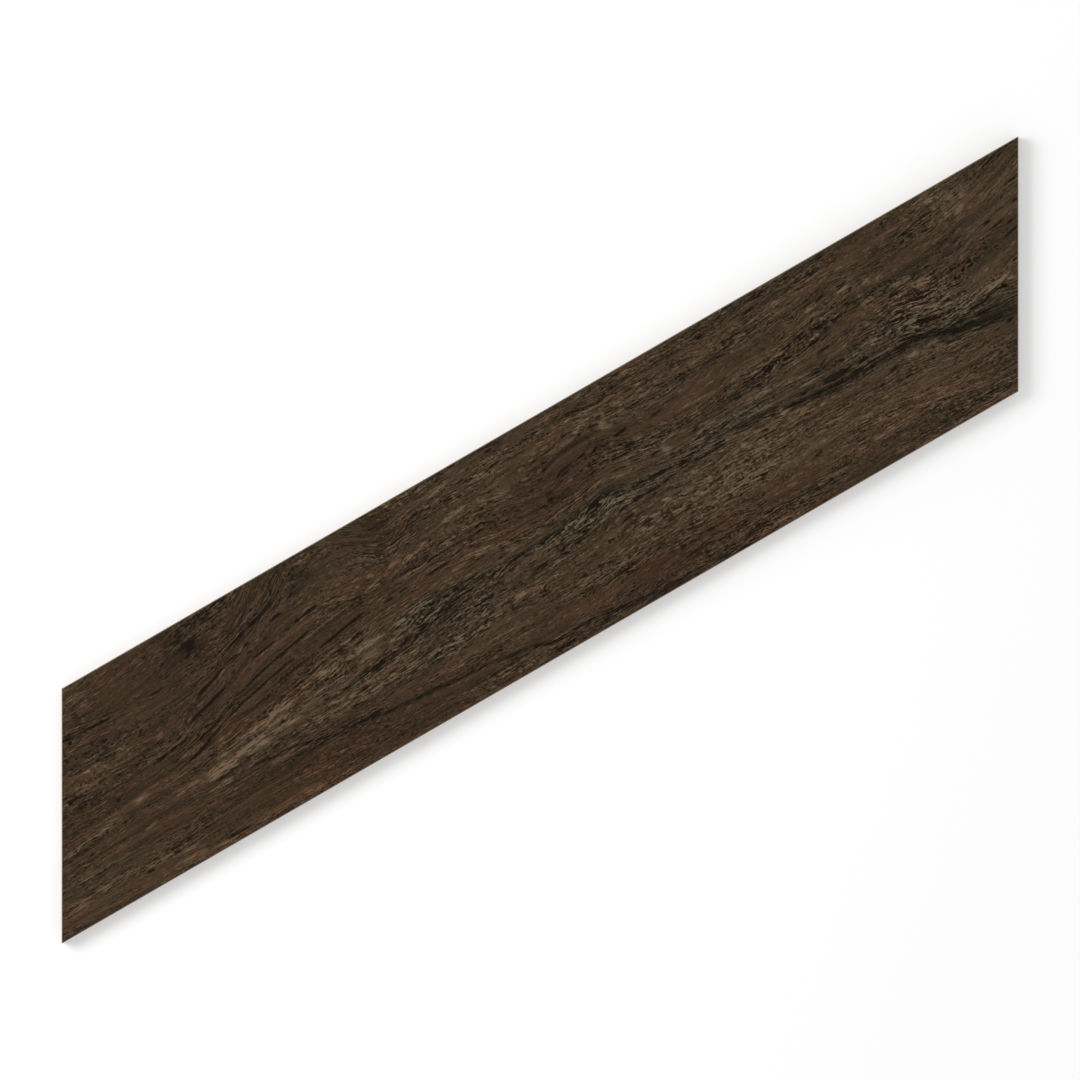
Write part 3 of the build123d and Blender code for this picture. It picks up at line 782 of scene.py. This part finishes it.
# Short dashes along the grain: the dashes themselves, and a rim round each; amount shifts how large they are
def dashes(tree, grain, reach, seed, size, amount):
    spot = stretched(tree, grain, reach, [seed * c for c in dashShift])
    found = addNode(tree, "TexVoronoi", {"Vector": spot, "Scale": 1.0}, voronoi_dimensions="2D")
    pick = addNode(tree, "SeparateColor", {0: found.outputs["Color"]}).outputs[0]
    wide = calc(tree, "MULTIPLY", calc(tree, "ADD", pick, amount), size)
    inside = calc(tree, "SUBTRACT", wide, found.outputs["Distance"])
    core = calc(tree, "MULTIPLY", inside, dashShape["edge"], clamp=True)
    around = calc(tree, "MULTIPLY_ADD", inside, dashShape["rimEdge"], dashShape["rimReach"], clamp=True)
    present = calc(tree, "MULTIPLY", wide, dashShape["presence"], clamp=True)
    return core, calc(tree, "MULTIPLY", calc(tree, "SUBTRACT", around, core), present)


# Lightness is in screen steps and reach in mm along and across the grain
glaze = {
    "mid": 52.9,  # lightness of the plain wood
    "range": (18.0, 100.0),  # lightness at the two ends of the ramp
    "ramp": [
        (20, (25, 20, 15)), (28, (34, 27.4, 20.4)), (36.7, (43.6, 34.9, 26.3)), (45.4, (54.8, 43, 32.5)),
        (51, (61.5, 48.4, 36.7)), (56.2, (67.2, 53.5, 40.5)), (63.4, (74.8, 60.8, 46.5)),
        (74.9, (87, 72.4, 55.8)), (96, (112, 95, 75)),
    ],
    "plain": (64.6, 51.6, 39.3),  # the colour that the two tints start from
    "red": (74, 50, 36),  # where the wood is warm
    "green": (54, 54, 43),  # where it is cool
    "tintShare": 0.42,  # of a tint, for a turn of 1
    "wander": [((48, 12), 0.8), ((13, 5), 0.22), ((4.5, 2.6), 0.12)],  # waves in the grain: reach and mm
    "wanderSeed": 1.3,
    # noise over the whole face: mm along, mm across, steps
    "bands": {
        "zone": (150, 15, 2.8), "cloud": (80, 6, 3.2), "stripe": (45, 2.4, 3.9), "strand": (16, 1.1, 6.2),
        "fibre": (6, 0.52, 8.4), "speckle": (1.6, 0.7, 6.8), "hair": (9, 0.3, 9.2),
    },
    "bandSeed": 2.0,
    "busyBands": ("strand", "fibre", "speckle", "hair"),  # these grow where the figure is busy
    # a noise of its own says where that is; it rises on cobble and falls on rings
    "busy": {"reach": (60, 10), "seed": 17.0, "swing": 0.4, "base": 0.85, "least": 0.3,
             "onCobble": 0.5, "onRings": -0.4},
    # long thin lines, broken in two of the three kinds
    "thinLines": {
        "dark": {"reach": (75, 2.6), "breaks": (18, 2.0), "seed": 41.0, "thin": 4.2, "steps": -17.0},
        "bright": {"reach": (60, 3.6), "breaks": (16, 2.2), "seed": 51.0, "thin": 4.6, "steps": 14.0},
        "ring": {"reach": (130, 2.2), "breaks": None, "seed": 12.5, "thin": 3.6, "steps": -19.0},
    },
    "breakSeed": 3.0,  # added to a line's own seed
    "whole": (0.5, 0.35),  # how much the breaks leave of a line: swing and mean
    # pebbled wood; gap is how narrow the gaps are, gapShare how strong: swing and mean
    "cobble": {"reach": (3.6, 1.9), "seed": 9.1, "steps": 6.0,
               "cell": (4.4, 2.0), "gap": 6.0, "gapShare": (0.8, 0.06), "gapSteps": -15.0},
    # placed strokes: steps, how far the fine grain frays them, how much of their soft edge is cut off
    "strokes": {
        "pale": {"steps": 32.0, "fray": 0.65, "cut": 0.06, "most": 1.6},
        "vein": {"steps": -33.0, "fray": -0.68, "cut": 0.12, "most": 1.0},
        "line": {"steps": -34.0, "fray": -0.3, "cut": 0.2, "most": 1.0},
    },
    "regain": 3.0,  # times the cut, given back to a stroke so that its middle stays strong
    "strandInFray": 0.5,
    "flankSteps": 7.0,  # beside the placed lines
    "toneSteps": 12.0,
    "knotSteps": -34.0,
    # short dashes, each size with its reach, size, steps and steps of the rim
    "dashes": {
        "pore": {
            "sizes": [((10, 1.0), 0.42, -18.0, 6.0), ((4.8, 0.95), 0.46, -20.0, 7.0),
                      ((2.6, 0.9), 0.46, -15.0, 6.0)],
            "crowd": {"base": -0.62, "busy": 0.35, "dark": 0.5, "cloud": -0.12, "pale": 0.3},
            "seed": 21.0,
        },
        "fleck": {
            "sizes": [((8, 1.3), 0.42, 15.0, -5.0)],
            "crowd": {"base": -0.35, "cloud": 0.2, "cobbled": 0.3},
            "seed": 31.0,
        },
    },
    # sums of what the wood is made of, each part with its share, as in the crowds above
    "turn": {"base": 0.0, "warm": 1.0, "stripe": 0.22, "cloud": 0.3, "vein": -1.2, "pale": -0.1},
    "bump": {"base": 0.0, "pore": -0.05, "fibre": 0.006, "cobble": 0.006},  # mm, too small for the mesh
    "roughness": {"base": 0.54, "stripe": 0.02, "pore": 0.08},
    "specular": 0.07,
    "sheen": 0.005,  # what the mirrored studio adds to every colour, seen square on
}


# A printed colour, picked as it shows through the sheen
def underSheen(rgb):
    return [max(c - glaze["sheen"], 0.0) for c in screenColour(rgb)[:3]] + [1.0]


# The grain's places, waved so that nothing runs quite straight
def wanderingGrain(tree):
    grain = addNode(tree, "Attribute", {}, attribute_name="grain").outputs["Vector"]
    for n, (reach, lift) in enumerate(glaze["wander"]):
        wave = streaks(tree, grain, reach, glaze["wanderSeed"] + n, detail=2.0)
        wave = calc(tree, "MULTIPLY", wave, lift)
        shift = addNode(tree, "CombineXYZ", {"Y": wave}).outputs[0]
        grain = addNode(tree, "VectorMath", {0: grain, 1: shift}, operation="ADD").outputs[0]
    return grain


# How busy the fine grain is, about 0.3 to 2
def busyGrain(tree, grain, fields):
    busy = glaze["busy"]
    found = addUp(tree, busy["base"], (streaks(tree, grain, busy["reach"], busy["seed"]), busy["swing"]))
    found = addUp(tree, calc(tree, "MAXIMUM", found, busy["least"]), (fields["cobble"], busy["onCobble"]))
    found = calc(tree, "MULTIPLY", found, addUp(tree, 1.0, (fields["rings"], busy["onRings"])))
    return calc(tree, "MULTIPLY", found, calc(tree, "ADD", fields["stir"], 1.0))


# Pebbled wood: the pebbles' own noise, and the dark gaps between them
def cobbledWood(tree, grain, field):
    cobble = glaze["cobble"]
    pebbles = calc(tree, "MULTIPLY", streaks(tree, grain, cobble["reach"], cobble["seed"]), field)
    spot = stretched(tree, grain, cobble["cell"], (0, 0, 0))
    cell = addNode(tree, "TexVoronoi", {"Vector": spot, "Scale": 1.0}, feature="DISTANCE_TO_EDGE",
                   voronoi_dimensions="2D")
    wide = calc(tree, "MULTIPLY", cell.outputs["Distance"], cobble["gap"])
    gaps = calc(tree, "SUBTRACT", 1.0, wide, clamp=True)
    return pebbles, calc(tree, "MULTIPLY", gaps, calc(tree, "MULTIPLY_ADD", field, *cobble["gapShare"]))


# Long thin lines, where a streak noise passes through its middle
def thinLines(tree, grain, kind):
    found = streaks(tree, grain, kind["reach"], kind["seed"])
    away = calc(tree, "MULTIPLY", calc(tree, "ABSOLUTE", found), kind["thin"])
    lines = calc(tree, "SUBTRACT", 1.0, away, clamp=True)
    if kind["breaks"] is None:
        return lines
    breaks = streaks(tree, grain, kind["breaks"], kind["seed"] + glaze["breakSeed"])
    return calc(tree, "MULTIPLY", lines, calc(tree, "MULTIPLY_ADD", breaks, *glaze["whole"], clamp=True))


# The placed strokes of one kind, frayed by the fine grain
def frayedStrokes(tree, field, grains, stroke):
    frayed = addUp(tree, 1 + glaze["regain"] * stroke["cut"], (grains, stroke["fray"]))
    frayed = calc(tree, "MULTIPLY_ADD", field, frayed, -stroke["cut"])
    return calc(tree, "MINIMUM", calc(tree, "MAXIMUM", frayed, 0.0), stroke["most"])


# The colour of the print, from its lightness and its turn to red or green
def printColour(tree, value, turn):
    first, last = glaze["range"]
    ramp = addNode(tree, "ValToRGB", {})
    stops = ramp.color_ramp.elements
    while len(stops) < len(glaze["ramp"]):
        stops.new(0.5)
    for stop, (lightness, rgb) in zip(stops, glaze["ramp"]):
        stop.position, stop.color = (lightness - first) / (last - first), underSheen(rgb)
    share = addNode(tree, "MapRange", {"Value": value, "From Min": first, "From Max": last}).outputs[0]
    tree.links.new(share, ramp.inputs["Fac"])

    colour = ramp.outputs["Color"]
    plain = screenColour(glaze["plain"])
    for name, sign in (("red", 1), ("green", -1)):
        tint = [a / b for a, b in zip(screenColour(glaze[name]), plain)][:3] + [1.0]
        share = calc(tree, "MULTIPLY", turn, sign * glaze["tintShare"], clamp=True)
        colour = mixColours(tree, share, colour, mixColours(tree, 1.0, colour, tint, blend_type="MULTIPLY"))
    return colour


def makeGlaze():
    material, tree = emptyMaterial("printed walnut glaze")
    names = ("vein", "line", "pale", "tone", "cobble", "warm", "knot", "rings", "stir")
    fields = {name: readField(tree, name) for name in names}
    grain = wanderingGrain(tree)
    busy = busyGrain(tree, grain, fields)
    parts = {"busy": busy, "cobbled": fields["cobble"], "warm": fields["warm"]}

    def sumOf(shares):
        named = [(parts[name], share) for name, share in shares.items() if name != "base"]
        return addUp(tree, shares["base"], *named)

    # what runs over the whole face
    value = glaze["mid"]
    for n, (name, (along, across, steps)) in enumerate(glaze["bands"].items()):
        found = streaks(tree, grain, (along, across), glaze["bandSeed"] + n)
        parts[name] = calc(tree, "MULTIPLY", found, busy) if name in glaze["busyBands"] else found
        value = addUp(tree, value, (parts[name], steps))
    cobble = glaze["cobble"]
    parts["cobble"], gaps = cobbledWood(tree, grain, fields["cobble"])
    value = addUp(tree, value, (parts["cobble"], cobble["steps"]), (gaps, cobble["gapSteps"]))
    for name, kind in glaze["thinLines"].items():
        where = fields["rings"] if name == "ring" else busy
        parts[name] = calc(tree, "MULTIPLY", thinLines(tree, grain, kind), where)
        value = addUp(tree, value, (parts[name], kind["steps"]))

    # what was placed; a line's flanks peak at a quarter, where the line is half as strong
    value = addUp(tree, value, (fields["tone"], glaze["toneSteps"]))
    grains = addUp(tree, parts["fibre"], (parts["strand"], glaze["strandInFray"]))
    for name, stroke in glaze["strokes"].items():
        parts[name] = frayedStrokes(tree, fields[name], grains, stroke)
        value = addUp(tree, value, (parts[name], stroke["steps"]))
    flank = calc(tree, "MULTIPLY", fields["line"], calc(tree, "SUBTRACT", 1.0, fields["line"], clamp=True))
    knot = calc(tree, "MINIMUM", fields["knot"], 1.0)
    value = addUp(tree, value, (flank, 4 * glaze["flankSteps"]), (knot, glaze["knotSteps"]))

    # pores crowd on the dark lines and where the figure is busy
    for name, kind in glaze["dashes"].items():
        crowd = sumOf(kind["crowd"])
        parts[name] = 0.0
        for n, (reach, size, steps, rimSteps) in enumerate(kind["sizes"]):
            core, rim = dashes(tree, grain, reach, kind["seed"] + n, size, crowd)
            value = addUp(tree, value, (core, steps), (rim, rimSteps))
            parts[name] = calc(tree, "MAXIMUM", parts[name], core)

    colour = printColour(tree, value, sumOf(glaze["turn"]))
    endWith(tree, colour, sumOf(glaze["roughness"]), glaze["specular"], sumOf(glaze["bump"]))
    return material


# Lengths in mm; noise has its scale per mm and its detail
body = {
    "clay": (128, 113, 96),
    "darkSpeck": (96, 83, 69),
    "paleSpeck": (150, 136, 118),
    "cloud": (0.03, 3.0),
    "cloudShare": (0.1, 0.15),  # how far the clay clouds over: swing and mean
    "speck": (1.6, 2.0),
    "speckShare": (0.6, -0.5),  # the same for the specks
    "print": (60, 48, 37),
    "printLayer": 0.22,  # of the print, seen edge on at the top of the bevel
    "printEdge": 12.0,  # how sharply that layer ends
    "grinding": (0.05, 0.05, 5.0),  # marks per mm along, across and up
    "grindingBump": 0.03,
    "speckBump": 0.006,
    "roughness": (0.03, 0.78),  # swing and mean
    "specular": 0.3,
}


def makeBody():
    material, tree = emptyMaterial("fired porcelain body")
    place = addNode(tree, "TexCoord", {}).outputs["Object"]
    spot = addNode(tree, "VectorMath", {0: place, "Scale": 1 / mm}, operation="SCALE").outputs[0]
    cloud = spreadNoise(tree, spot, *body["cloud"])
    speck = spreadNoise(tree, spot, *body["speck"])
    swing, mean = body["speckShare"]
    colour = screenColour(body["clay"])
    for share, name in (
        (calc(tree, "MULTIPLY_ADD", cloud, *body["cloudShare"], clamp=True), "darkSpeck"),
        (calc(tree, "MULTIPLY_ADD", speck, swing, mean, clamp=True), "darkSpeck"),
        (calc(tree, "MULTIPLY_ADD", speck, -swing, mean, clamp=True), "paleSpeck"),
    ):
        colour = mixColours(tree, share, colour, screenColour(body[name]))

    # the print, seen edge on at the top of the bevel
    level = addNode(tree, "SeparateXYZ", {0: spot}).outputs[2]
    start = high.z / mm - body["printLayer"]
    layer = calc(tree, "MULTIPLY_ADD", level, body["printEdge"], -body["printEdge"] * start, clamp=True)
    colour = mixColours(tree, layer, colour, screenColour(body["print"]))

    # marks of the grinding wheel run along the edges; the pressed back is only grainy
    marks = addNode(tree, "VectorMath", {0: spot, 1: body["grinding"]}, operation="MULTIPLY").outputs[0]
    ground = addNode(tree, "TexNoise", {"Vector": marks, "Scale": 1.0, "Detail": 2.0}).outputs["Fac"]
    height = addUp(tree, 0.0, (speck, body["speckBump"]), (ground, body["grindingBump"]))
    roughness = calc(tree, "MULTIPLY_ADD", speck, *body["roughness"])
    endWith(tree, colour, roughness, body["specular"], height)
    return material


def addObject(name, data):
    made = bpy.data.objects.new(name, data)
    bpy.context.scene.collection.objects.link(made)
    return made


tileData = buildTile()
addFields(tileData)
tileData.materials.append(makeGlaze())
tileData.materials.append(makeBody())
tile = addObject("walnut_look_tile", tileData)
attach(tile, "root")
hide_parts("chevron_tile")
print("tile built,", len(tileData.polygons), "faces")


# Lengths in m where no other unit is named
studio = {
    "floorSize": 30.0,
    "floorGap": 0.02,  # mm below the tile
    "floorTone": 0.8,
    "floorLift": 0.28,  # added for the camera alone, so that the lit floor reads white
    "farLift": 0.66,  # the same far from the lamp
    "liftReach": (0.4, 1.7),  # m from the tile, where the one turns into the other
    "skyLight": 0.62,
    "lampPower": 26.0,
    "lampSize": 1.2,
    "lampPlace": Vector((-1.1, 1.2, 1.6)),
    "lens": 200.0,  # mm
    "sight": 100.0,  # how far the camera sees
    "tileTurn": 30.0,  # the long edges rise to the right by this much in the picture
    "pictureShare": 956.9 / 1080,  # of the picture's width, taken by the tile
}


def seenDirectly(tree):
    path = addNode(tree, "LightPath", {})
    seen = calc(tree, "MAXIMUM", path.outputs["Is Camera Ray"], path.outputs["Is Glossy Ray"])
    return calc(tree, "MAXIMUM", seen, path.outputs["Is Transmission Ray"])


def makeFloor():
    half = studio["floorSize"] / 2
    corners = [(-half, -half, 0), (half, -half, 0), (half, half, 0), (-half, half, 0)]
    data = bpy.data.meshes.new("floor")
    data.from_pydata(corners, [], [(0, 1, 2, 3)])
    material, tree = emptyMaterial("pale floor")
    tone = studio["floorTone"]
    matt = addNode(tree, "BsdfDiffuse", {"Color": (tone, tone, tone, 1)})
    place = addNode(tree, "TexCoord", {}).outputs["Object"]
    away = addNode(tree, "VectorMath", {0: place}, operation="LENGTH").outputs["Value"]
    nearEnd, farEnd = studio["liftReach"]
    added = addNode(tree, "MapRange", {
        "Value": away, "From Min": nearEnd, "From Max": farEnd, "To Min": studio["floorLift"],
        "To Max": studio["farLift"]}, interpolation_type="SMOOTHSTEP").outputs[0]
    strength = calc(tree, "MULTIPLY", seenDirectly(tree), added)
    lift = addNode(tree, "Emission", {"Color": (1, 1, 1, 1), "Strength": strength})
    both = addNode(tree, "AddShader", {0: matt.outputs[0], 1: lift.outputs[0]})
    addNode(tree, "OutputMaterial", {"Surface": both.outputs[0]})
    data.materials.append(material)
    floor = addObject("floor", data)
    floor.location.z = low.z - studio["floorGap"] * mm


def makeLight():
    world = bpy.data.worlds.new("studio")
    bpy.context.scene.world = world
    world.use_nodes = True
    tree = world.node_tree
    tree.nodes.clear()
    strength = addNode(tree, "MapRange", {
        "Value": seenDirectly(tree), "To Min": studio["skyLight"], "To Max": 1.0}).outputs[0]
    sky = addNode(tree, "Background", {"Color": (1, 1, 1, 1), "Strength": strength})
    addNode(tree, "OutputWorld", {"Surface": sky.outputs[0]})
    lamp = bpy.data.lights.new("softbox", "AREA")
    lamp.energy, lamp.size = studio["lampPower"], studio["lampSize"]
    softbox = addObject("softbox", lamp)
    softbox.location = studio["lampPlace"]
    softbox.rotation_euler = (-studio["lampPlace"]).to_track_quat("-Z", "Y").to_euler()


def makeCamera():
    data = bpy.data.cameras.new("camera")
    data.lens = studio["lens"]
    data.clip_end = studio["sight"]
    turn = math.radians(studio["tileTurn"])
    pictureWide = longSide * math.cos(turn) / studio["pictureShare"]
    away = pictureWide * data.lens / data.sensor_width
    camera = addObject("camera", data)
    camera.location = ((low.x + high.x) / 2, (low.y + high.y) / 2, high.z + away)
    camera.rotation_euler = (0, 0, -turn)
    bpy.context.scene.camera = camera


makeFloor()
makeLight()
makeCamera()
bpy.context.scene.view_settings.view_transform = "Standard"
print("floor, light and camera set")

print("done")
